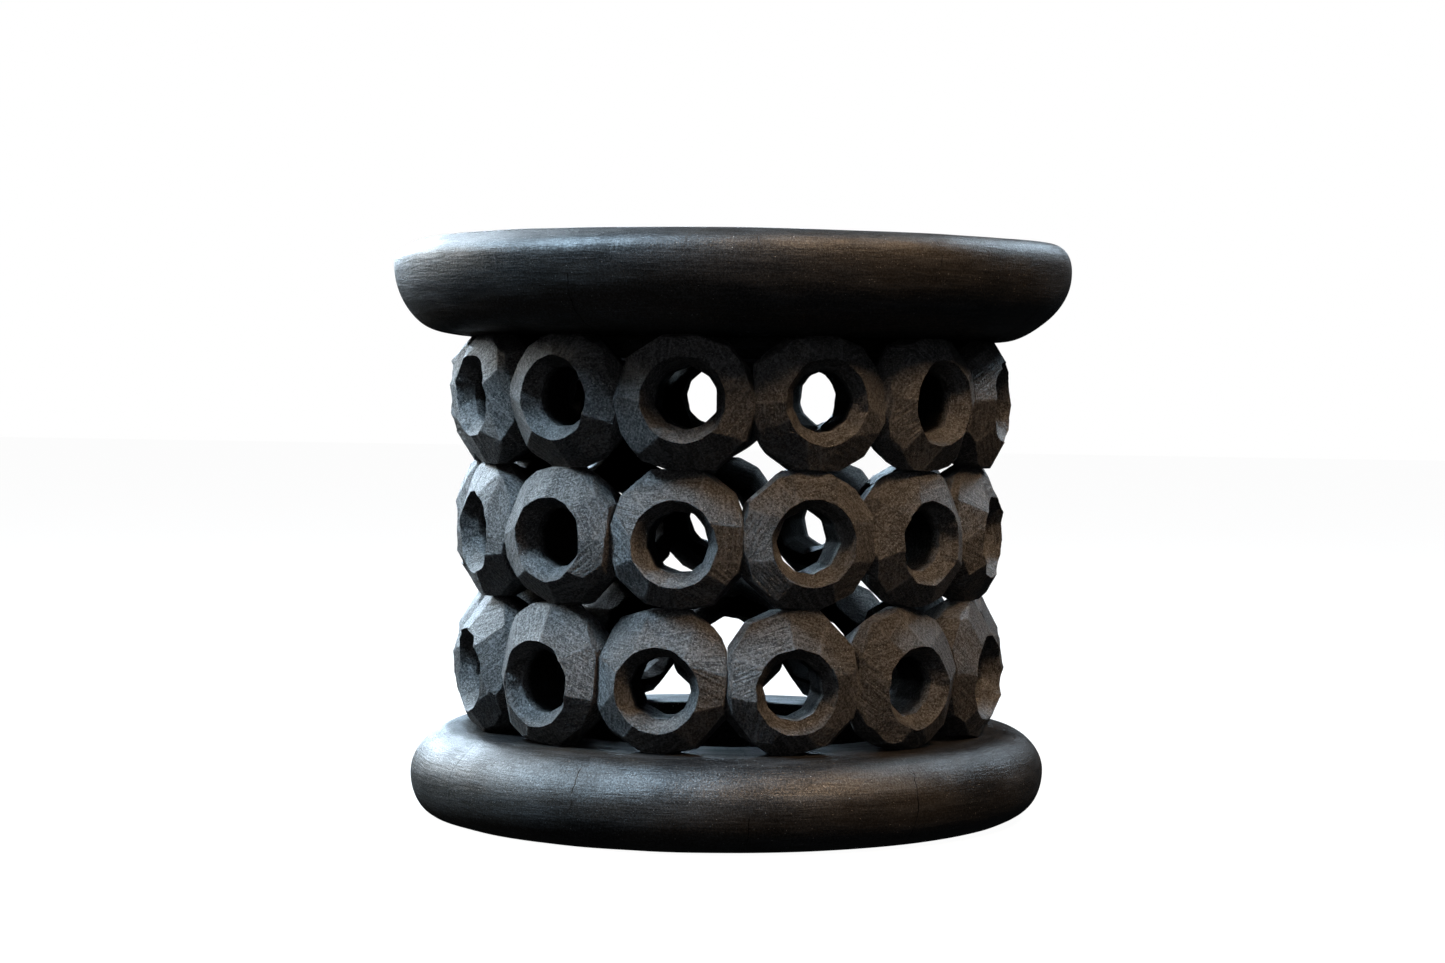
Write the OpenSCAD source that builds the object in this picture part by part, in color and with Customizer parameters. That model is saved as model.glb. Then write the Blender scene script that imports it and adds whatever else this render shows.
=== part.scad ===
// Round carved stool: a thick round seat and a ring-shaped base, held apart by
// a drum wall of faceted rings, each bored through towards the stool's axis.
// Millimetres, +Z up, origin at the middle of the face the stool stands on.

/* [Stool] */
// Height of the whole stool
stool_h = 422; // [412:2:432]
// Diameter of the seat at its fullest
seat_d = 504; // [480:2:540]
// Thickness of the seat
seat_t = 72; // [64:1:76]
// How far the seat reaches down inside the ring wall
seat_boss_t = 16; // [8:1:20]
// Diameter of the base at its fullest
base_d = 474; // [460:2:520]
// Thickness of the base
base_t = 63; // [58:1:70]
// Diameter of the hollow through the base
hollow_d = 276; // [240:2:290]

/* [Ring wall] */
// Rings in one row
rings_around = 13; // [12:1:14]
// Distance from the stool's axis to the rings' rims
wall_r = 202.5; // [198:0.5:208]
// How far the top row stands out beyond the others
top_bulge = 4; // [0:0.5:5]
// Depth of a ring from its rim to its back
ring_depth = 58; // [48:1:62]
// How much taller each row is than the row above it
row_taper = 3.4; // [0:0.2:4]
// Turn of the middle row against the top row, in degrees
middle_turn = -1.7; // [-6:0.1:6]
// Turn of the bottom row against the top row, in degrees
bottom_turn = -4.6; // [-6:0.1:6]

/* [Each ring] */
// Radius of a ring's body across its corners
ring_r = 50.5; // [50:0.5:53]
// Radius of the rim round a bore
rim_r = 29.5; // [27:0.5:31]
// Radius of the bore
bore_r = 21; // [17:0.5:23]
// Depth of the bevel between the rim and the bore
bevel_depth = 12; // [6:0.5:14]
// How much further apart the bores are than the rows
bore_spread = 3.6; // [0:0.2:4]
// How far the bores sit below the middle of their rows
bore_sag = 1; // [0:0.5:2]
// Radius where the two front bands of facets meet
break_r = 40; // [38:0.5:42]
// Depth of the inner band of facets
inner_fall = 2.5; // [2:0.5:5]
// Depth of both front bands
groove_depth = 10; // [8:0.5:14]
// Radius of a ring's back
back_r = 32; // [30:0.5:36]
// Length of the sloping facets behind a ring
back_slope = 31; // [18:1:33]
// How far the corners of the hand-cut facets wander
wander_by = 1; // [0:0.1:1.5]

/* [Hidden] */
ROWS = ["bottom", "middle", "top"];
row_count = len(ROWS);
row_turns = [bottom_turn, middle_turn, 0];
facets = 12;
facet_step = 360 / facets;
blackened_wood = [0.16, 0.155, 0.15];
polished_black = [0.11, 0.108, 0.11];

row_pitch = (stool_h - seat_t - base_t) / row_count;
ring_angle = 360 / rings_around;
overcut = 1;
rim_width = 1;
flare_depth = 14;
flare_r = bore_r + 4;
rim_drop = 1;

// Seat and base outlines
seat_edge_drop = 20;
seat_edge_in = 26;
seat_under_in = 56;
boss_clearance = 2;
base_full_z = 30;
base_foot_in = 20;
base_shoulder_in = 40;
hollow_chamfer = 4;
arc_steps = 10;
$fn = 96;

function ring_number(place) = place < 10 ? str("0", place) : str(place);
function ring_name(row, place) = str("ring_", ROWS[row], "_", ring_number(place));

function row_h(row) = row_pitch + (1 - row) * row_taper;
function row_floor(row) = row == 0 ? base_t : row_floor(row - 1) + row_h(row - 1);
function bore_shift(row) = (row - 1) * bore_spread - bore_sag;
function rim_reach(row) = wall_r + (row == row_count - 1 ? top_bulge : 0);

// A number within the wander that differs from corner to corner
function wander(row, place, level, step) =
    wander_by * sin(97 * place + 211 * row + 71 * level + 143 * step);

// Quarter of an ellipse from one end angle to the other
function arc(centre, radii, start, end) = [
    for (step = [0 : arc_steps])
        let (angle = start + (end - start) * step / arc_steps)
            [centre[0] + radii[0] * cos(angle), centre[1] + radii[1] * sin(angle)]
];

module seat() {
    seat_r = seat_d / 2;
    under_z = stool_h - seat_t;
    full_z = stool_h - seat_edge_drop;
    boss_r = wall_r - ring_depth - boss_clearance;
    color(polished_black)
        rotate_extrude()
            polygon(concat(
                [
                    [0, under_z - seat_boss_t],
                    [boss_r, under_z - seat_boss_t],
                    [boss_r, under_z]
                ],
                arc([seat_r - seat_under_in, full_z], [seat_under_in, full_z - under_z], -90, 0),
                arc([seat_r - seat_edge_in, full_z], [seat_edge_in, seat_edge_drop], 0, 90),
                [[0, stool_h]]
            ));
}

module base() {
    full_r = base_d / 2;
    hollow_r = hollow_d / 2;
    color(polished_black)
        rotate_extrude()
            polygon(concat(
                [[hollow_r, hollow_chamfer], [hollow_r + hollow_chamfer, 0]],
                arc([full_r - base_foot_in, base_full_z], [base_foot_in, base_full_z], -90, 0),
                arc([full_r - base_shoulder_in, base_full_z],
                    [base_shoulder_in, base_t - base_full_z], 0, 90),
                [[hollow_r, base_t]]
            ));
}

// The levels of a ring's corners, from its rim to its back: [radius, height]
function levels(rim, back) = [
    [(rim_r + rim_width) / cos(facet_step / 2), rim],
    [break_r, rim - inner_fall],
    [ring_r, rim - groove_depth],
    [ring_r, back + back_slope],
    [back_r, back]
];

// The corners of one level, turned by half a facet on every other level
function corners(row, place, level, size) = [
    for (step = [0 : facets - 1])
        let (
            angle = (step + (level % 2) / 2) * facet_step,
            radius = size[0] + wander(row, place, level, step)
        )
            [radius * cos(angle), radius * sin(angle), size[1]]
];

// The triangles between one level and the next
function band_faces(level) = [
    for (step = [0 : facets - 1])
        let (
            next = (step + 1) % facets,
            here = level * facets,
            below = here + facets,
            lean = level % 2
        )
            each [
                [here + step, here + next, below + (lean == 0 ? step : next)],
                [here + (lean == 0 ? next : step), below + next, below + step]
            ]
];

// The faceted solid of one ring, along +Z, before it is trimmed and bored
module faceted_bead(row, place, rim, back) {
    sizes = levels(rim, back);
    last = len(sizes) - 1;
    points = [for (level = [0 : last]) each corners(row, place, level, sizes[level])];
    sides = [for (level = [0 : last - 1]) each band_faces(level)];
    front_cap = [[for (step = [facets - 1 : -1 : 0]) step]];
    back_cap = [[for (step = [0 : facets - 1]) last * facets + step]];
    polyhedron(points = points, faces = concat(front_cap, sides, back_cap));
}

// One ring along +Z, measured from the stool's axis at Z = 0
module ring_body(row, place) {
    rim = rim_reach(row);
    back = rim - ring_depth;
    shift = bore_shift(row);
    difference() {
        intersection() {
            faceted_bead(row, place, rim, back);
            wedge(row_h(row), rim);
        }
        translate([0, shift, back - overcut])
            cylinder(h = ring_depth + 2 * overcut, r = bore_r);
        translate([0, shift - rim_drop, rim - bevel_depth])
            cylinder(h = bevel_depth + overcut, r1 = bore_r, r2 = rim_r);
        translate([0, shift, back - overcut])
            cylinder(h = flare_depth, r1 = flare_r, r2 = bore_r);
    }
}

// The slice of the drum wall that one ring has to itself
module wedge(height, rim) {
    half_w = (rim + overcut) * tan(ring_angle / 2);
    translate([0, height / 2, 0])
        rotate([90, 0, 0])
            linear_extrude(height)
                polygon([[0, 0], [half_w, rim + overcut], [-half_w, rim + overcut]]);
}

module ring(row, place) {
    color(blackened_wood)
        translate([0, 0, row_floor(row) + row_h(row) / 2])
            rotate([0, 0, (place - 1) * ring_angle + row_turns[row]])
                rotate([90, 0, 0])
                    ring_body(row, place);
}

seat();
base();
for (row = [0 : row_count - 1], place = [1 : rings_around])
    ring(row, place);
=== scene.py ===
from itertools import product
from math import atan2, cos, pi, radians, sin

import bpy
import numpy as np
from mathutils import Matrix, Vector


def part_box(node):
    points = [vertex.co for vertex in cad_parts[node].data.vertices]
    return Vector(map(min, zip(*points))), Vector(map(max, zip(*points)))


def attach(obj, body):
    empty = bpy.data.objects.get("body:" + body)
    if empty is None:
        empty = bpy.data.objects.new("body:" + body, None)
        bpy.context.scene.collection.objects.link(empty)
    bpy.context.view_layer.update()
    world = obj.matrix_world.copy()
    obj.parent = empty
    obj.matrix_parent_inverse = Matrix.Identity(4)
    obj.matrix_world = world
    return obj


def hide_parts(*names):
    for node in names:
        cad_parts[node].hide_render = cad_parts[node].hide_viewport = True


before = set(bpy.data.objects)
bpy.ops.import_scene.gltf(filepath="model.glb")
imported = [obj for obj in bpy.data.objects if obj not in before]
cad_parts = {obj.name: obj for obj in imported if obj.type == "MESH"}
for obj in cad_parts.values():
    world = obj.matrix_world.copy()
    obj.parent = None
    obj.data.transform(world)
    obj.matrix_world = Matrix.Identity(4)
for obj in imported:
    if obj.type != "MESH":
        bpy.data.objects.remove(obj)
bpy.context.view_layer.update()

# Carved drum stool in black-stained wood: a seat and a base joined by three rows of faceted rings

# ---------------------------------------------------------------- driving values, in metres

ROWS = ("bottom", "middle", "top")
RINGS_AROUND = 13
RING_STEP = 2 * pi / RINGS_AROUND
SEED = 1307

# One ring
BEAD_R = 0.0486            # body, from the ring's own axis
RIM_R = 0.0295             # edge of the hole, at the front
BORE_R = 0.0210
BACK_HOLE_R = 0.0255       # edge of the hole, at the back
RIM_DROP = 0.0010          # the rim sits this much lower than the bore
BORE_SAG = 0.0010          # the bores sit below the middle of their rows
BORE_SPREAD = 0.0036       # and are further apart than the rows
BEVEL_DEPTH = 0.0115
FLARE_DEPTH = 0.0140
CORE_R = 0.0340            # circle inside the ring's wood that its surface is measured from
CORE_DEPTH = 0.0260        # depth of that circle behind the rim
CONTACT_GAP = 0.00004      # hairline left between two rings that touch

# On one stretch of the wall, at the back left, the two upper rows are carved away less inside
FULLER_BACK = 0.010
FULLER_FROM, FULLER_TO = radians(190), radians(245)

# Surface of a ring
CORNER_UNIT = 0.03         # size against which the rounding of the corners is set
EDGE_SHARPNESS = 150       # of the hole's edges
CUT_SHARPNESS = 260        # of the edges between cuts
CUT_EDGE_WIDTH = 0.0007    # width of the worn line along an edge
CUT_DEPTH = 0.00030        # mean depth of the knife marks and the grain
RIDGE_HEIGHT = 0.00008     # of the knife marks
CONTACT_CUTS = 4           # the last cuts, where a ring touches its neighbours, stay flat
SHARP_ABOVE = radians(16)  # edges of the mesh that bend more than this are shaded as sharp
# Unevenness of the cuts and of the hole: layers of (height, size of the features, shift of the seed)
CUT_LAYERS = ((0.00020, 0.012, 0), (0.00012, 0.004, 0), (0.00010, 0.0022, 3))
HOLE_LAYERS = ((0.00035, 0.008, 7), (0.00015, 0.003, 9))

# Seat and base
KEEP_IN = 0.0002           # how far their curves stay inside the CAD outline
TILT = 0.0032              # how far their outer parts rise towards the camera's right
TOP_TILT = 0.0030          # and the corner round the seat's top
BROAD_DENTS = 0.085        # width of the shallow dents that carving leaves in them
SMALL_DENTS = 0.030
MARKS_R = 0.24             # radius at which marks that run round them have their true size

# Mesh fineness
RING_STEPS = 208
OUTER_STEPS = 88
BEVEL_STEPS = 9
BORE_STEPS = 16
FLARE_STEPS = 7
ROUND_STEPS = 640
PROFILE_STEP = 0.0022

# The directions round a ring's axis in which its points lie
RING_ANGLES = np.arange(RING_STEPS) * 2 * pi / RING_STEPS
AROUND = np.stack([np.cos(RING_ANGLES), np.sin(RING_ANGLES)], axis=1)

# The camera's side of the stool, from -Y towards +X
CAMERA_AZIMUTH = radians(9.57)
CAMERA_DISTANCE = 2.1214
CAMERA_SIDE = -0.0056
CAMERA_HEIGHT = 0.3151
CAMERA_PITCH = radians(1.923)
CAMERA_ROLL = radians(0.732)
LENS_MM = 70.75

FAR = 10.0                 # stands for "no cut that way"

# ---------------------------------------------------------------- small tools


def value_noise(points, cell, seed):
    """Smooth noise between -1 and 1 whose features are about one cell wide.

    The large odd numbers turn a cell's place and the seed into a value that looks random.
    """
    scaled = points / cell + seed * 17.31
    corner0 = np.floor(scaled).astype(np.int64)
    part = scaled - corner0
    part = part * part * (3 - 2 * part)
    total = np.zeros(points.shape[:-1])
    for corner in product((0, 1), repeat=3):
        ijk = corner0 + np.array(corner)
        mixed = ijk[..., 0] * 73856093 ^ ijk[..., 1] * 19349663 ^ ijk[..., 2] * 83492791 ^ seed * 2654435
        mixed = (mixed ^ (mixed >> 13)) * 1274126177
        value = ((mixed >> 9) & 0xFFFF) / 32767.5 - 1
        weight = np.prod(np.where(np.array(corner) == 1, part, 1 - part), axis=-1)
        total += value * weight
    return total


def uneven(points, layers, seed):
    """Noise in several layers, each (height, size of the features, shift of the seed)."""
    return sum(height * value_noise(points, cell, seed + shift) for height, cell, shift in layers)


def ramp_up(value, low, high):
    """A smooth rise from 0 at the low value to 1 at the high one."""
    share = np.clip((value - low) / (high - low), 0, 1)
    return share * share * (3 - 2 * share)


def soft_min(values, unit, sharpness):
    """The smallest of the positive values along the first axis, with its corners rounded."""
    return unit * np.sum((values / unit) ** -sharpness, axis=0) ** (-1 / sharpness)


def draw_count(rng, counts):
    """A whole number from the first of the counts to the last."""
    return int(rng.integers(counts[0], counts[1] + 1))


def hole_edge(rng, counts, radius, wander):
    """Radius, at each of the ring angles, of a slightly irregular polygon with softened corners."""
    count = draw_count(rng, counts)
    turn = rng.uniform(0, 2 * pi)
    flats = turn + (np.arange(count) + rng.uniform(-0.22, 0.22, count)) * 2 * pi / count
    reach = radius * (1 + rng.uniform(-wander, wander, count)) * 0.992
    facing = np.cos(RING_ANGLES[None, :] - flats[:, None])
    crossing = np.where(facing > 0.3, reach[:, None] / np.maximum(facing, 0.3), FAR)
    return 1.01 * soft_min(crossing, radius, 60)


def mesh_object(name, vertices, faces, attributes=None):
    """A smooth-shaded mesh object from arrays of vertices and quads, with point attributes."""
    mesh = bpy.data.meshes.new(name)
    mesh.from_pydata(vertices.tolist(), [], faces)
    mesh.validate()
    for key, values in (attributes or {}).items():
        layer = mesh.attributes.new(key, "FLOAT", "POINT")
        layer.data.foreach_set("value", np.asarray(values, np.float32).ravel())
    mesh.polygons.foreach_set("use_smooth", [True] * len(mesh.polygons))
    mesh.update()
    piece = bpy.data.objects.new(name, mesh)
    bpy.context.scene.collection.objects.link(piece)
    return piece


def closed_grid_faces(rows, columns):
    """Quads of a grid of points that closes on itself both ways."""
    faces = []
    for t in range(rows):
        here, there = t * columns, (t + 1) % rows * columns
        for s in range(columns):
            after = (s + 1) % columns
            faces.append((here + s, here + after, there + after, there + s))
    return faces


def node_points(node):
    """The corners of a CAD node's mesh."""
    return np.array([v.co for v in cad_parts[node].data.vertices], float)


# ---------------------------------------------------------------- rings


def ring_name(row, place):
    return f"ring_{ROWS[row]}_{place + 1:02d}"


def row_turn(row):
    """Angle of a row's first ring from -Y towards +X, averaged over the row's CAD rings."""
    offsets = []
    for place in range(RINGS_AROUND):
        centre = node_points(ring_name(row, place)).mean(0)
        angle = atan2(centre[0], -centre[1]) - place * RING_STEP
        offsets.append(complex(cos(angle), sin(angle)))
    mean = sum(offsets)
    return atan2(mean.imag, mean.real)


def bead_planes(rng, half_h, rim, back, bore_v, bead_h, fullness):
    """The cuts that shape one ring: unit normals and offsets, in (along the row, up, outwards)."""
    normals, offsets = [], []

    def cut(angle, tilt, radius, out, centre_v=0.0):
        squash = 1 + (bead_h / BEAD_R - 1) * sin(angle) ** 2
        normal = np.array([sin(tilt) * cos(angle), sin(tilt) * sin(angle), cos(tilt)])
        point = np.array([radius * squash * cos(angle), centre_v + radius * squash * sin(angle), out])
        normals.append(normal)
        offsets.append(normal @ point)

    def band(counts, tilt, tilt_spread, radius, radius_spread, out, out_spread, centre_v=0.0):
        """Cuts side by side round the ring; tilt is in degrees, away from the bore's axis."""
        count = draw_count(rng, counts)
        turn = rng.uniform(0, 2 * pi)
        for step in range(count):
            angle = turn + (step + rng.uniform(-0.30, 0.30)) * 2 * pi / count
            cut(angle, radians(tilt + rng.uniform(-tilt_spread, tilt_spread)),
                radius + rng.uniform(-radius_spread, radius_spread),
                out + rng.uniform(-out_spread, out_spread), centre_v)

    # From the face round the hole, over the body, to the side towards the stool's hollow
    band((8, 10), tilt=33, tilt_spread=10, radius=RIM_R + 0.002, radius_spread=0,
         out=rim - 0.0010, out_spread=0.0009, centre_v=bore_v)
    band((10, 12), tilt=56, tilt_spread=8, radius=0.0472, radius_spread=0.0006,
         out=rim - 0.0085, out_spread=0.0010)
    band((11, 13), tilt=84, tilt_spread=7, radius=BEAD_R, radius_spread=0.0006,
         out=rim - 0.0200, out_spread=0)
    band((9, 11), tilt=119, tilt_spread=6, radius=0.0412 + fullness, radius_spread=0.0008,
         out=back + 0.0175, out_spread=0.0010)
    band((7, 9), tilt=150, tilt_spread=6, radius=0.0290, radius_spread=0,
         out=back + 0.0018, out_spread=0.0006)

    # The flats where the ring touches its neighbours
    half_step = RING_STEP / 2
    for side in (-1, 1):
        normals.append(np.array([side * cos(half_step), 0, -sin(half_step)]))
        offsets.append(-CONTACT_GAP)
        normals.append(np.array([0, side, 0]))
        offsets.append(half_h - CONTACT_GAP)
    return np.array(normals), np.array(offsets)


def ray_lengths(cuts, origins, directions):
    """Distance from each origin along each direction to every cut; far away where there is none."""
    normals, offsets = cuts
    facing = np.einsum("pk,...k->p...", normals, directions)
    per_cut = offsets.reshape((-1,) + (1,) * (origins.ndim - 1))
    room = per_cut - np.einsum("pk,...k->p...", normals, origins)
    return np.where(facing > 1e-3, room / np.maximum(facing, 1e-3), FAR)


def even_angles(rim, back):
    """Shares of the sweep from rim to back that space the outer surface's points about evenly."""
    turn_z = back + 0.026
    outline = np.array([
        (RIM_R, rim), (0.040, rim - 0.003), (0.0475, rim - 0.009), (0.0505, rim - 0.016),
        (0.0505, turn_z), (0.042, back + 0.014), (0.034, back + 0.003), (BACK_HOLE_R, back),
    ])
    dense = []
    for a, b in zip(outline[:-1], outline[1:]):
        dense.extend(a + (b - a) * t for t in np.linspace(0, 1, 40, endpoint=False))
    dense = np.array(dense + [outline[-1]])
    sweep = np.unwrap(np.arctan2(dense[:, 1] - (rim - CORE_DEPTH), dense[:, 0] - CORE_R))
    share = (sweep - sweep[0]) / (sweep[-1] - sweep[0])
    # The side towards the hollow is seen less and gets fewer points
    weight = np.where(dense[:, 1] < turn_z, 0.6, 1.0)[1:]
    steps = np.linalg.norm(np.diff(dense, axis=0), axis=1) * weight
    length = np.concatenate([[0], np.cumsum(steps)])
    return np.interp(np.linspace(0, length[-1], OUTER_STEPS), length, share)


def loop_round(radius, centre, out):
    """A loop of points round the bore; radius and out are one number, or one for each point."""
    flat = centre + np.reshape(radius, (-1, 1)) * AROUND
    return np.concatenate([flat, np.broadcast_to(out, RING_STEPS)[:, None]], axis=1)


def edge_loop(cuts, radius, centre, core_out, side):
    """The loop at which the front (side 1) or the back (side -1) of the cut ring has this radius."""
    origin = loop_round(radius, centre, core_out)
    direction = np.broadcast_to(np.array([0.0, 0.0, side]), origin.shape)
    reach = soft_min(ray_lengths(cuts, origin, direction), CORNER_UNIT, EDGE_SHARPNESS)
    return loop_round(radius, centre, core_out + side * reach)


def fan_angle(edge, core):
    """Angle of an edge's points seen from the core circle, 0 straight away from the bore."""
    across = np.einsum("tk,tk->t", edge[:, :2] - core[:, :2], AROUND)
    return np.arctan2(edge[:, 2] - core[:, 2], across)


def outer_skin(rng, cuts, core, front_edge, back_edge, sweep_shares, seed):
    """The cut outside of a ring, from its front edge to its back edge, and its marks."""
    normals = cuts[0]
    first, last = fan_angle(front_edge, core), fan_angle(back_edge, core)
    last = np.where(last > 0, last - 2 * pi, last)
    sweep = first[:, None] + (last - first)[:, None] * sweep_shares[None, :]
    direction = np.concatenate([
        np.cos(sweep)[..., None] * AROUND[:, None, :],
        np.sin(sweep)[..., None],
    ], axis=2)
    origin = np.broadcast_to(core[:, None, :], direction.shape)
    lengths = ray_lengths(cuts, origin, direction)
    ordered = np.sort(lengths, axis=0)
    cut_id = np.argmin(lengths, axis=0)
    edge_share = np.exp(-(ordered[1] - ordered[0]) / CUT_EDGE_WIDTH)
    surface = origin + direction * soft_min(lengths, CORNER_UNIT, CUT_SHARPNESS)[..., None]

    # Each cut leaves faint parallel ridges of its own
    stroke = np.cross(normals, rng.normal(size=(len(normals), 3)))
    stroke /= np.linalg.norm(stroke, axis=1, keepdims=True)
    across = np.einsum("tsk,tsk->ts", surface, np.cross(normals, stroke)[cut_id])
    lengthwise = np.einsum("tsk,tsk->ts", surface, stroke[cut_id])
    ridge_len = rng.uniform(0.0035, 0.0065, len(normals))
    ridges = RIDGE_HEIGHT * np.sin(across * 2 * pi / ridge_len[cut_id]) * (1 - edge_share)
    inward = np.minimum(ridges + uneven(surface, CUT_LAYERS, seed) - CUT_DEPTH, 0)
    inward = np.where(cut_id >= len(normals) - CONTACT_CUTS, 0.0, inward)
    marks = {
        "tone": rng.uniform(0, 1, len(normals))[cut_id],
        "edge": edge_share,
        "across": across,
        "lengthwise": lengthwise,
    }
    return surface + direction * inward[..., None], marks


def lane(start, end, shares):
    """Loops between two loops, at these shares of the way."""
    return start[:, None, :] + (end - start)[:, None, :] * shares[None, :, None]


def inner_skin(front_edge, back_edge, bore_r, bore_c, bore_front, bore_back, seed):
    """Bevel, bore and flare of a ring's hole, from its front edge to its back edge."""
    bore_start = loop_round(bore_r, bore_c, bore_front)
    bore_end = loop_round(bore_r, bore_c, bore_back)
    inner = np.concatenate([
        lane(front_edge, bore_start,
             np.concatenate([[0.03], np.linspace(0, 1, BEVEL_STEPS + 1)[1:-1], [0.97, 1.0]])),
        lane(bore_start, bore_end,
             np.concatenate([[0.015], np.linspace(0, 1, BORE_STEPS + 1)[1:]])),
        lane(bore_end, back_edge, np.linspace(0, 1, FLARE_STEPS + 1)[1:-1]),
    ], axis=1)
    inner[..., :2] += AROUND[:, None, :] * uneven(inner, HOLE_LAYERS, seed)[..., None]
    return inner


def make_ring(row, place, turn, rng):
    """One ring, made in (along the row, up, outwards) from its CAD solid's place and reach."""
    name = ring_name(row, place)
    low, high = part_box(name)
    azimuth = turn + place * RING_STEP
    outward = np.array([sin(azimuth), -cos(azimuth), 0])
    along = np.array([cos(azimuth), sin(azimuth), 0])
    reach = node_points(name) @ outward
    rim, back = reach.max() - rng.uniform(0.0, 0.0022), reach.min() + rng.uniform(0, 0.002)
    half_h = (high.z - low.z) / 2
    middle_z = (high.z + low.z) / 2
    seed = 100 * row + place + 1

    bore_u = rng.uniform(-0.0010, 0.0010)
    bore_v = (row - 1) * BORE_SPREAD - BORE_SAG + rng.uniform(-0.0008, 0.0008)
    # Half the body's height: a little over half the row's, so that the rows' flats meet
    bead_h = max(half_h + 0.0008, BEAD_R - 0.0004)
    round_way = (azimuth - CAMERA_AZIMUTH) % (2 * pi)
    fullness = FULLER_BACK if row > 0 and FULLER_FROM < round_way < FULLER_TO else 0.0
    cuts = bead_planes(rng, half_h, rim, back, bore_v, bead_h, fullness)

    # The rim varies in size less than the bore does
    bore_size = rng.uniform(0.97, 1.04)
    rim_size = 0.4 + 0.6 * bore_size
    rim_r = hole_edge(rng, (13, 16), RIM_R * rim_size, 0.010)
    bore_r = hole_edge(rng, (10, 12), BORE_R * bore_size, 0.02)
    hole_r = hole_edge(rng, (7, 9), BACK_HOLE_R * bore_size, 0.04)
    bore_c = np.array([bore_u, bore_v])
    core_out = rim - CORE_DEPTH
    front_edge = edge_loop(cuts, rim_r, bore_c - np.array([0, RIM_DROP]), core_out, 1.0)
    back_edge = edge_loop(cuts, hole_r, bore_c, core_out, -1.0)

    core = loop_round(CORE_R, bore_c, core_out)
    outer, marks = outer_skin(rng, cuts, core, front_edge, back_edge, even_angles(rim, back), seed)
    bevel_depth = BEVEL_DEPTH * rng.uniform(0.85, 1.15)
    bore_front = front_edge[:, 2] * 0.3 + 0.7 * front_edge[:, 2].mean() - bevel_depth
    inner = inner_skin(front_edge, back_edge, bore_r, bore_c, bore_front, back + FLARE_DEPTH, seed)
    inner = inner[:, ::-1, :]
    bevel_end = rim - bevel_depth
    flat = inner.shape[:2]
    inner_marks = {
        "tone": np.broadcast_to(rng.uniform(0.3, 0.7), flat),
        "edge": np.zeros(flat),
        "across": inner[..., 2] * 0.3,
        "lengthwise": np.broadcast_to(RING_ANGLES[:, None] * BORE_R, flat),
    }
    layers = {key: np.concatenate([marks[key], inner_marks[key]], axis=1) for key in marks}
    # Painted shade: 1 where light reaches, 0 in the bore and on the side towards the hollow
    layers["lit_share"] = np.concatenate([
        ramp_up(outer[..., 2], rim - 0.040, rim - 0.022),
        ramp_up(inner[..., 2], bevel_end - 0.009, bevel_end + 0.001),
    ], axis=1)

    grid = np.concatenate([outer, inner], axis=1)
    points = grid.reshape(-1, 3)
    world = points[:, :1] * along + points[:, 2:] * outward + np.array([0, 0, middle_z])
    world[:, 2] += points[:, 1]
    ring = mesh_object(f"carved_{name}", world, closed_grid_faces(*grid.shape[:2]), layers)
    ring.data.set_sharp_from_angle(angle=SHARP_ABOVE)
    ring.data.materials.append(CARVED)
    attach(ring, "root")
    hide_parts(name)


# ---------------------------------------------------------------- seat and base


def superellipse(centre_r, centre_z, size_r, size_z, power, start, end, steps):
    """Part of a rounded corner, as [radius, height] points between two angles in degrees."""
    angle = np.radians(np.linspace(start, end, steps))
    c, s = np.cos(angle), np.sin(angle)
    radius = centre_r + size_r * np.sign(c) * np.abs(c) ** (2 / power)
    height = centre_z + size_z * np.sign(s) * np.abs(s) ** (2 / power)
    return np.stack([radius, height], axis=1)


def straight(start, end, steps):
    """Points along a straight part of an outline."""
    return np.linspace(start, end, steps)


def even_profile(parts, spacing):
    """Joins the parts of an outline and spaces its points evenly."""
    outline = np.concatenate(parts)
    keep = np.concatenate([[True], np.linalg.norm(np.diff(outline, axis=0), axis=1) > 1e-7])
    outline = outline[keep]
    length = np.concatenate([[0], np.cumsum(np.linalg.norm(np.diff(outline, axis=0), axis=1))])
    count = int(length[-1] / spacing)
    at = np.linspace(0, length[-1], count)
    return np.stack([np.interp(at, length, outline[:, k]) for k in (0, 1)], axis=1)


def revolve(name, profile, closed, shape_points):
    """A round piece from its profile; shape_points moves the points off the perfect round."""
    theta = np.arange(ROUND_STEPS) * 2 * pi / ROUND_STEPS
    radius = np.broadcast_to(profile[None, :, 0], (ROUND_STEPS, len(profile)))
    points = np.stack([
        radius * np.sin(theta)[:, None],
        -radius * np.cos(theta)[:, None],
        np.broadcast_to(profile[None, :, 1], radius.shape),
    ], axis=2)
    points = shape_points(points)
    count_s = len(profile)
    if closed:
        # Turned over, because a profile runs the other way round than a ring's loops
        faces = [(a, d, c, b) for a, b, c, d in closed_grid_faces(ROUND_STEPS, count_s)]
        return mesh_object(name, points.reshape(-1, 3), faces)
    # The first and last points of an open profile lie on the axis and become one vertex each
    body = points[:, 1:-1, :]
    inner = count_s - 2
    low, high = points[:, 0, :].mean(0), points[:, -1, :].mean(0)
    vertices = np.concatenate([body.reshape(-1, 3), [low, high]])
    low_id, high_id = ROUND_STEPS * inner, ROUND_STEPS * inner + 1
    faces = []
    for t in range(ROUND_STEPS):
        here, there = t * inner, (t + 1) % ROUND_STEPS * inner
        faces.append((low_id, there, here))
        faces.append((high_id, here + inner - 1, there + inner - 1))
        for s in range(inner - 1):
            faces.append((here + s, there + s, there + s + 1, here + s + 1))
    return mesh_object(name, vertices, faces)


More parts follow.
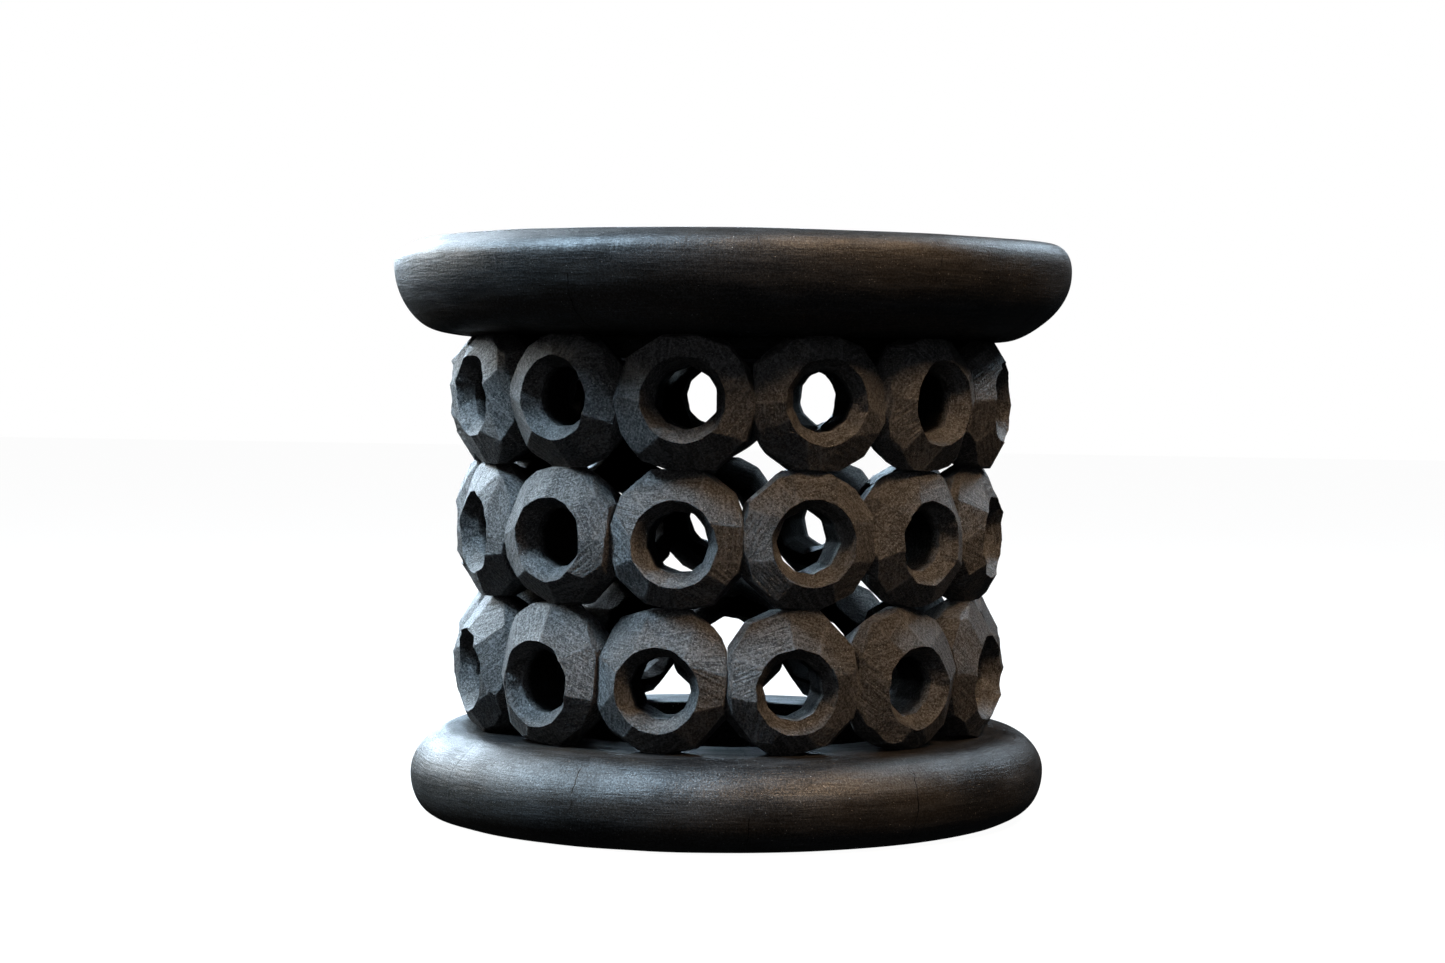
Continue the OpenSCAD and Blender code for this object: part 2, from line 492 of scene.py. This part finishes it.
def hand_shaped(points, seed, wide, small):
    """Points moved in by smooth, hand-worked unevenness, and how far each one is moved."""
    broad = value_noise(points * np.array([1, 1, 1.6]), BROAD_DENTS, seed)
    medium = value_noise(points, SMALL_DENTS, seed + 1)
    depth = wide * (broad - 1) / 2 + small * (medium - 1) / 2
    axis_r = np.linalg.norm(points[..., :2], axis=-1)
    away = points[..., :2] / np.maximum(axis_r, 1e-6)[..., None]
    moved = points.copy()
    moved[..., :2] += away * (depth * ramp_up(axis_r, 0.16, 0.20))[..., None]
    return moved, depth


def sideways(points, reach):
    """How far to the right of the camera's view each point is, from -1 to 1 over the reach."""
    return (points[..., 0] * cos(CAMERA_AZIMUTH) + points[..., 1] * sin(CAMERA_AZIMUTH)) / reach


def make_seat():
    low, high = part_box("seat")
    cad = node_points("seat")
    cad_r = np.linalg.norm(cad[:, :2], axis=1)
    boss_r = cad_r[cad[:, 2] < low.z + 0.001].max()
    under_z = cad[cad_r > boss_r + 0.005, 2].min()
    full_r, high_z = high.x, high.z
    full_z = high_z - 0.020
    top_z = high_z - 0.0003
    boss_edge, under_in, top_in = 0.004, 0.056, 0.030
    profile = even_profile([
        straight([0, low.z], [boss_r - boss_edge, low.z], 2),
        superellipse(boss_r - boss_edge, low.z + boss_edge, boss_edge, boss_edge, 2, -90, 0, 6),
        straight([boss_r, low.z + boss_edge], [boss_r, under_z], 2),
        superellipse(full_r - under_in, full_z, under_in - KEEP_IN, full_z - under_z, 2.05, -90, 0, 70),
        superellipse(full_r - top_in, full_z, top_in - KEEP_IN, top_z - full_z, 2.4, 0, 90, 50),
        straight([full_r - top_in, top_z], [0, top_z], 2),
    ], PROFILE_STEP)

    def shape(points):
        moved, depth = hand_shaped(points, seed=21, wide=0.0022, small=0.0008)
        axis_r = np.linalg.norm(points[..., :2], axis=-1)
        height = points[..., 2]
        to_right = sideways(points, full_r)
        moved[..., 2] += ramp_up(height, high_z - 0.012, high_z) * (depth * 0.35)
        # The underside is worked a little higher on one side than on the other
        low_share = 1 - ramp_up(height, under_z, full_z)
        moved[..., 2] += TILT * to_right * ramp_up(axis_r, 0.205, 0.235) * low_share
        # and so is the corner round its top
        corner_z = high_z - 0.004
        corner_share = ramp_up(height, full_z, corner_z) * (1 - ramp_up(height, corner_z, high_z))
        moved[..., 2] += TOP_TILT * to_right * corner_share
        moved[..., 2] = np.minimum(moved[..., 2], high_z)
        return moved

    seat = revolve("carved_seat", profile, False, shape)
    seat.data.materials.append(POLISHED)
    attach(seat, "root")
    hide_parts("seat")


def make_base():
    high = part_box("base")[1]
    full_r, top_z = high.x, high.z
    hollow_r = np.linalg.norm(node_points("base")[:, :2], axis=1).min()
    full_z = 0.030
    foot_in, shoulder_in, hollow_in, hollow_edge = 0.024, 0.040, 0.006, 0.005
    profile = even_profile([
        straight([hollow_r, hollow_in], [hollow_r + hollow_in, 0.0], 3),
        straight([hollow_r + hollow_in, 0.0], [full_r - foot_in, 0.0], 2),
        superellipse(full_r - foot_in, full_z, foot_in - KEEP_IN, full_z, 2.1, -90, 0, 50),
        superellipse(full_r - shoulder_in, full_z, shoulder_in - KEEP_IN, top_z - full_z, 2.0, 0, 90, 60),
        straight([full_r - shoulder_in, top_z], [hollow_r + hollow_edge, top_z], 2),
        superellipse(hollow_r + hollow_edge, top_z - hollow_edge, hollow_edge, hollow_edge, 2, 90, 180, 8),
        straight([hollow_r, top_z - hollow_edge], [hollow_r, hollow_in + 0.0015], 12),
    ], PROFILE_STEP)

    def shape(points):
        moved, _ = hand_shaped(points, seed=57, wide=0.0022, small=0.0010)
        axis_r = np.linalg.norm(points[..., :2], axis=-1)
        lean = TILT * sideways(points, full_r) * ramp_up(axis_r, 0.200, 0.226)
        moved[..., 2] = np.maximum(moved[..., 2] + lean, 0.0)
        return moved

    base = revolve("carved_base", profile, True, shape)
    base.data.materials.append(POLISHED)
    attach(base, "root")
    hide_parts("base")


# ---------------------------------------------------------------- materials


class Nodes:
    """Short calls for building a material's node tree."""

    def __init__(self, material):
        material.use_nodes = True
        self.tree = material.node_tree
        self.shader = next(n for n in self.tree.nodes if n.type == "BSDF_PRINCIPLED")

    def add(self, kind, inputs=None, **settings):
        node = self.tree.nodes.new(kind)
        for key, value in settings.items():
            setattr(node, key, value)
        for key, value in (inputs or {}).items():
            self.feed(node.inputs[key], value)
        return node

    def feed(self, socket, value):
        """Gives a socket its value: a link from another node, or a constant."""
        if isinstance(value, bpy.types.NodeSocket):
            self.tree.links.new(value, socket)
        else:
            socket.default_value = value

    def give(self, name, value):
        """Feeds one of the shader's own sockets."""
        self.feed(self.shader.inputs[name], value)

    def attribute(self, name):
        """A field that the mesh carries."""
        return self.add("ShaderNodeAttribute", attribute_name=name).outputs["Fac"]

    def maths(self, operation, a, b=0.0):
        return self.add("ShaderNodeMath", {0: a, 1: b}, operation=operation).outputs[0]

    def weighted(self, *shares):
        """Sum of (field, weight) pairs."""
        total = 0.0
        for field, weight in shares:
            total = self.maths("ADD", self.maths("MULTIPLY", field, weight), total)
        return total

    def noise(self, vector, scale, detail, roughness):
        node = self.add("ShaderNodeTexNoise",
                        {"Vector": vector, "Scale": scale, "Detail": detail, "Roughness": roughness})
        return node.outputs["Fac"]

    def ramp(self, value, low, high, to_low=0.0, to_high=1.0):
        """A smooth step from to_low at the low value to to_high at the high one."""
        node = self.add("ShaderNodeMapRange",
                        {"Value": value, "From Min": low, "From Max": high,
                         "To Min": to_low, "To Max": to_high}, interpolation_type="SMOOTHSTEP")
        return node.outputs["Result"]

    def mix(self, factor, a, b):
        node = self.add("ShaderNodeMix", {"Factor": factor, 6: a, 7: b}, data_type="RGBA")
        return node.outputs[2]

    def stretch(self, vector, scale):
        node = self.add("ShaderNodeVectorMath", {0: vector, 1: scale}, operation="MULTIPLY")
        return node.outputs[0]


def round_coordinates(nodes, place):
    """Place as (way round the stool, distance from its axis, height), and those as fields."""
    x, y, height = nodes.add("ShaderNodeSeparateXYZ", {0: place}).outputs
    angle = nodes.maths("ARCTAN2", y, x)
    squares = nodes.maths("ADD", nodes.maths("MULTIPLY", x, x), nodes.maths("MULTIPLY", y, y))
    axis_r = nodes.maths("SQRT", squares)
    round_way = nodes.maths("MULTIPLY", angle, MARKS_R)
    vector = nodes.add("ShaderNodeCombineXYZ", {0: round_way, 1: axis_r, 2: height}).outputs[0]
    return vector, angle, axis_r, height


def carved_material():
    """Black-stained wood as the knife left it; noise scales are in features per metre."""
    material = bpy.data.materials.new("carved_black_wood")
    nodes = Nodes(material)
    place = nodes.add("ShaderNodeTexCoord").outputs["Object"]
    tone = nodes.attribute("tone")
    edge = nodes.attribute("edge")
    lit_side = nodes.attribute("lit_share")
    stroke = nodes.add("ShaderNodeCombineXYZ", {
        0: nodes.attribute("across"),
        1: nodes.maths("MULTIPLY", nodes.attribute("lengthwise"), 0.07),
        2: nodes.maths("MULTIPLY", tone, 3.0),
    }).outputs[0]
    grain = nodes.noise(place, 640, 5, 0.78)
    fibres = nodes.noise(nodes.stretch(place, (1.0, 1.0, 0.16)), 420, 4, 0.7)
    knife = nodes.noise(stroke, 480, 4, 0.7)
    mottle = nodes.noise(place, 75, 4, 0.65)
    broad = nodes.noise(place, 14, 2, 0.5)

    soot = (0.0075, 0.0072, 0.0071, 1)
    brown = (0.026, 0.022, 0.0185, 1)
    ash = (0.135, 0.133, 0.132, 1)
    dust = (0.42, 0.40, 0.37, 1)
    pore = (0.002, 0.002, 0.002, 1)
    painted_shade = (0.0018, 0.0016, 0.0015, 1)
    colour = nodes.mix(nodes.ramp(mottle, 0.38, 0.62), soot, brown)
    colour = nodes.mix(nodes.maths("MULTIPLY", nodes.ramp(broad, 0.40, 0.65), 0.35), colour, soot)
    colour = nodes.mix(nodes.ramp(knife, 0.50, 0.61, 0, 0.45), colour, ash)
    colour = nodes.mix(nodes.ramp(grain, 0.51, 0.60, 0, 0.46), colour, ash)
    colour = nodes.mix(nodes.ramp(grain, 0.47, 0.38, 0, 0.75), colour, pore)
    colour = nodes.mix(nodes.maths("MULTIPLY", tone, 0.30), colour, soot)
    worn = nodes.maths("MULTIPLY", nodes.ramp(edge, 0.35, 1.0), nodes.ramp(mottle, 0.40, 0.58))
    colour = nodes.mix(nodes.maths("MULTIPLY", worn, 0.65), colour, ash)
    specks = nodes.noise(place, 1300, 1, 0.4)
    colour = nodes.mix(nodes.ramp(specks, 0.715, 0.76), colour, dust)
    # Painted shade: near-black colour in the bore and on the side towards the hollow
    colour = nodes.mix(lit_side, painted_shade, colour)
    nodes.give("Base Color", colour)

    nodes.give("Roughness", nodes.ramp(grain, 0.40, 0.60, 0.52, 0.42))
    # Painted shade in the reflection too: the specular level drops in the bore and on the side towards the
    # hollow, and varies with the grain
    glint = nodes.maths("MULTIPLY", nodes.ramp(lit_side, 0, 1, 0.05, 0.90),
                        nodes.ramp(grain, 0.42, 0.58, 0.35, 1.0))
    nodes.give("Specular IOR Level", glint)

    relief = nodes.weighted((grain, 0.55), (fibres, 0.40), (knife, 0.70))
    bump = nodes.add("ShaderNodeBump", {"Height": relief, "Strength": 1.0, "Distance": 0.0021})
    nodes.give("Normal", bump.outputs["Normal"])
    return material


def polished_material():
    """Black-stained wood rubbed smooth by hands and cloth, with marks that run round the stool."""
    material = bpy.data.materials.new("polished_black_wood")
    nodes = Nodes(material)
    place = nodes.add("ShaderNodeTexCoord").outputs["Object"]
    round_place, angle, axis_r, height = round_coordinates(nodes, place)
    brushed = nodes.noise(nodes.stretch(round_place, (0.07, 1.0, 1.0)), 620, 4, 0.7)
    upright = nodes.noise(nodes.stretch(round_place, (1.0, 0.2, 0.10)), 560, 4, 0.7)
    streaks = nodes.noise(nodes.stretch(round_place, (0.14, 1.0, 1.0)), 110, 4, 0.65)
    patches = nodes.noise(nodes.stretch(round_place, (0.5, 1.0, 1.0)), 16, 4, 0.6)
    grain = nodes.noise(place, 760, 5, 0.8)

    black = (0.0050, 0.0049, 0.0050, 1)
    brown = (0.0140, 0.0112, 0.0085, 1)
    grey = (0.036, 0.036, 0.037, 1)
    dust = (0.40, 0.39, 0.37, 1)
    split_dark = (0.0008, 0.0008, 0.0008, 1)
    colour = nodes.mix(nodes.ramp(patches, 0.38, 0.62, 0, 0.9), black, brown)
    colour = nodes.mix(nodes.ramp(streaks, 0.50, 0.70, 0, 0.40), colour, grey)
    colour = nodes.mix(nodes.ramp(brushed, 0.50, 0.66, 0, 0.35), colour, grey)
    colour = nodes.mix(nodes.ramp(grain, 0.51, 0.62, 0, 0.45), colour, grey)
    specks = nodes.noise(place, 1150, 1, 0.4)
    colour = nodes.mix(nodes.ramp(specks, 0.755, 0.80), colour, dust)
    # A few hairline splits that run up the side
    wobble = nodes.maths("MULTIPLY", nodes.noise(place, 60, 2, 0.5), 0.05)
    splits = nodes.maths("MULTIPLY", nodes.maths("ADD", angle, wobble), 1.9)
    split = nodes.maths("ABSOLUTE", nodes.maths("SUBTRACT", nodes.maths("FRACT", splits), 0.5))
    crack = nodes.maths("MULTIPLY", nodes.ramp(split, 0.0035, 0.0010), nodes.ramp(patches, 0.50, 0.56))
    colour = nodes.mix(crack, colour, split_dark)
    nodes.give("Base Color", colour)

    rough = nodes.maths("ADD", nodes.ramp(streaks, 0.35, 0.65, 0.38, 0.48),
                        nodes.ramp(patches, 0.4, 0.6, -0.03, 0.04))
    nodes.give("Roughness", rough)
    sheen = nodes.maths("MULTIPLY", nodes.ramp(grain, 0.42, 0.58, 0.26, 0.66),
                        nodes.ramp(crack, 0, 1, 1.0, 0.1))
    worn = nodes.noise(nodes.stretch(round_place, (0.8, 1.0, 1.0)), 26, 5, 0.62)
    sheen = nodes.maths("MULTIPLY", sheen, nodes.ramp(worn, 0.38, 0.54, 0.60, 1.0))
    # Painted shade: the sheen drops on the strip of the base next to the rings, where they shade it; the
    # seat's top keeps its full sheen
    reach = nodes.maths("ADD", axis_r, nodes.maths("MULTIPLY", worn, 0.012))
    sheen_outside_shade = nodes.maths("MAXIMUM", nodes.ramp(reach, 0.212, 0.227, 0.08, 1.0),
                         nodes.ramp(height, 0.36, 0.38))
    sheen = nodes.maths("MULTIPLY", sheen, sheen_outside_shade)
    nodes.give("Specular IOR Level", sheen)

    relief = nodes.weighted((brushed, 0.45), (streaks, 0.9), (upright, 0.30), (grain, 0.40), (crack, -0.8))
    bump = nodes.add("ShaderNodeBump", {"Height": relief, "Strength": 0.55, "Distance": 0.0013})
    nodes.give("Normal", bump.outputs["Normal"])
    return material


CARVED = carved_material()
POLISHED = polished_material()

# ---------------------------------------------------------------- camera, floor and light

# Soft lights: name, place (right of the stool, away from the camera, up), size, watts and colour
LIGHTS = (
    ("sky_left", (-1.32, -0.42, 2.05), (0.65, 0.65), 188, (0.56, 0.79, 1.0)),
    ("window", (-1.75, 0.75, 0.95), (0.7, 0.6), 14, (1.0, 0.90, 0.76)),
    ("sky_back", (-1.40, 1.66, 1.20), (1.6, 1.2), 88, (0.74, 0.88, 1.0)),
    ("sky_low", (-0.55, 2.2, 0.72), (1.4, 0.26), 34, (0.60, 0.80, 1.0)),
    ("warm_front", (0.95, -1.05, 2.10), (0.6, 0.6), 66, (1.0, 0.68, 0.42)),
    ("sky_right", (1.25, 1.00, 1.35), (0.5, 0.5), 21, (0.66, 0.84, 1.0)),
    ("front_fill", (-0.3, -2.3, 0.7), (2.2, 1.6), 7.5, (0.90, 0.93, 1.0)),
)
AIM_HEIGHT = 0.22


def turned(x, y, z):
    """A point given as (right, away, up) of the camera's side of the stool."""
    c, s = cos(CAMERA_AZIMUTH), sin(CAMERA_AZIMUTH)
    return Vector((x * c - y * s, x * s + y * c, z))


def make_camera():
    data = bpy.data.cameras.new("camera")
    data.lens = LENS_MM
    data.sensor_width = 36
    data.clip_end = 50
    camera = bpy.data.objects.new("camera", data)
    bpy.context.scene.collection.objects.link(camera)
    right, forward, up = turned(1, 0, 0), turned(0, 1, 0), Vector((0, 0, 1))
    ahead = forward * cos(CAMERA_PITCH) - up * sin(CAMERA_PITCH)
    above = forward * sin(CAMERA_PITCH) + up * cos(CAMERA_PITCH)
    tilted_right = right * cos(CAMERA_ROLL) + above * sin(CAMERA_ROLL)
    tilted_up = above * cos(CAMERA_ROLL) - right * sin(CAMERA_ROLL)
    matrix = Matrix((tilted_right, tilted_up, -ahead)).transposed().to_4x4()
    matrix.translation = turned(CAMERA_SIDE, -CAMERA_DISTANCE, CAMERA_HEIGHT)
    camera.matrix_world = matrix
    bpy.context.scene.camera = camera


def make_floor():
    size = 12.0
    floor = mesh_object("floor", np.array([
        (-size, -size, 0), (size, -size, 0), (size, size, 0), (-size, size, 0),
    ]), [(0, 1, 2, 3)])
    material = bpy.data.materials.new("pale_floor")
    nodes = Nodes(material)
    place = nodes.add("ShaderNodeTexCoord").outputs["Object"]
    cloudy = nodes.noise(place, 1.5, 2, 0.5)
    colour = nodes.mix(cloudy, (0.095, 0.095, 0.095, 1), (0.105, 0.105, 0.105, 1))
    nodes.give("Base Color", colour)
    nodes.shader.inputs["Roughness"].default_value = 1.0
    nodes.shader.inputs["Specular IOR Level"].default_value = 0.0
    nodes.shader.inputs["Emission Color"].default_value = (1, 1, 1, 1)
    nodes.shader.inputs["Emission Strength"].default_value = 0.97
    floor.data.materials.append(material)
    floor.visible_diffuse = False
    floor.visible_glossy = False


def area_light(name, place, size, power, colour):
    data = bpy.data.lights.new(name, "AREA")
    data.shape = "RECTANGLE"
    data.size, data.size_y = size
    data.energy = power
    data.color = colour
    light = bpy.data.objects.new(name, data)
    bpy.context.scene.collection.objects.link(light)
    light.location = turned(*place)
    aim = turned(0, 0, AIM_HEIGHT) - light.location
    light.rotation_euler = aim.to_track_quat("-Z", "Y").to_euler()


def make_world():
    """A dim sky that brightens upwards, seen by the camera as plain white."""
    world = bpy.data.worlds.new("studio")
    bpy.context.scene.world = world
    world.use_nodes = True
    tree = world.node_tree
    background = next(n for n in tree.nodes if n.type == "BACKGROUND")
    direction = tree.nodes.new("ShaderNodeTexCoord").outputs["Generated"]
    split = tree.nodes.new("ShaderNodeSeparateXYZ")
    tree.links.new(direction, split.inputs[0])
    ramp = tree.nodes.new("ShaderNodeMapRange")
    tree.links.new(split.outputs["Z"], ramp.inputs["Value"])
    ramp.inputs["From Min"].default_value = -0.2
    ramp.inputs["From Max"].default_value = 0.9
    ramp.inputs["To Min"].default_value = 0.014
    ramp.inputs["To Max"].default_value = 0.05
    seen = tree.nodes.new("ShaderNodeLightPath").outputs["Is Camera Ray"]
    strength = tree.nodes.new("ShaderNodeMix")
    tree.links.new(seen, strength.inputs["Factor"])
    tree.links.new(ramp.outputs["Result"], strength.inputs["A"])
    strength.inputs["B"].default_value = 1.0
    tree.links.new(strength.outputs[0], background.inputs["Strength"])
    tint = tree.nodes.new("ShaderNodeMix")
    tint.data_type = "RGBA"
    tree.links.new(seen, tint.inputs["Factor"])
    tint.inputs[6].default_value = (0.80, 0.90, 1.0, 1)
    tint.inputs[7].default_value = (1, 1, 1, 1)
    tree.links.new(tint.outputs[2], background.inputs["Color"])


make_camera()
make_floor()
make_world()
for light_settings in LIGHTS:
    area_light(*light_settings)
bpy.context.scene.view_settings.view_transform = "Standard"

# ---------------------------------------------------------------- build

ring_rng = np.random.default_rng(SEED)
make_seat()
make_base()
for row_index in range(len(ROWS)):
    turn_here = row_turn(row_index)
    for place_index in range(RINGS_AROUND):
        make_ring(row_index, place_index, turn_here, ring_rng)
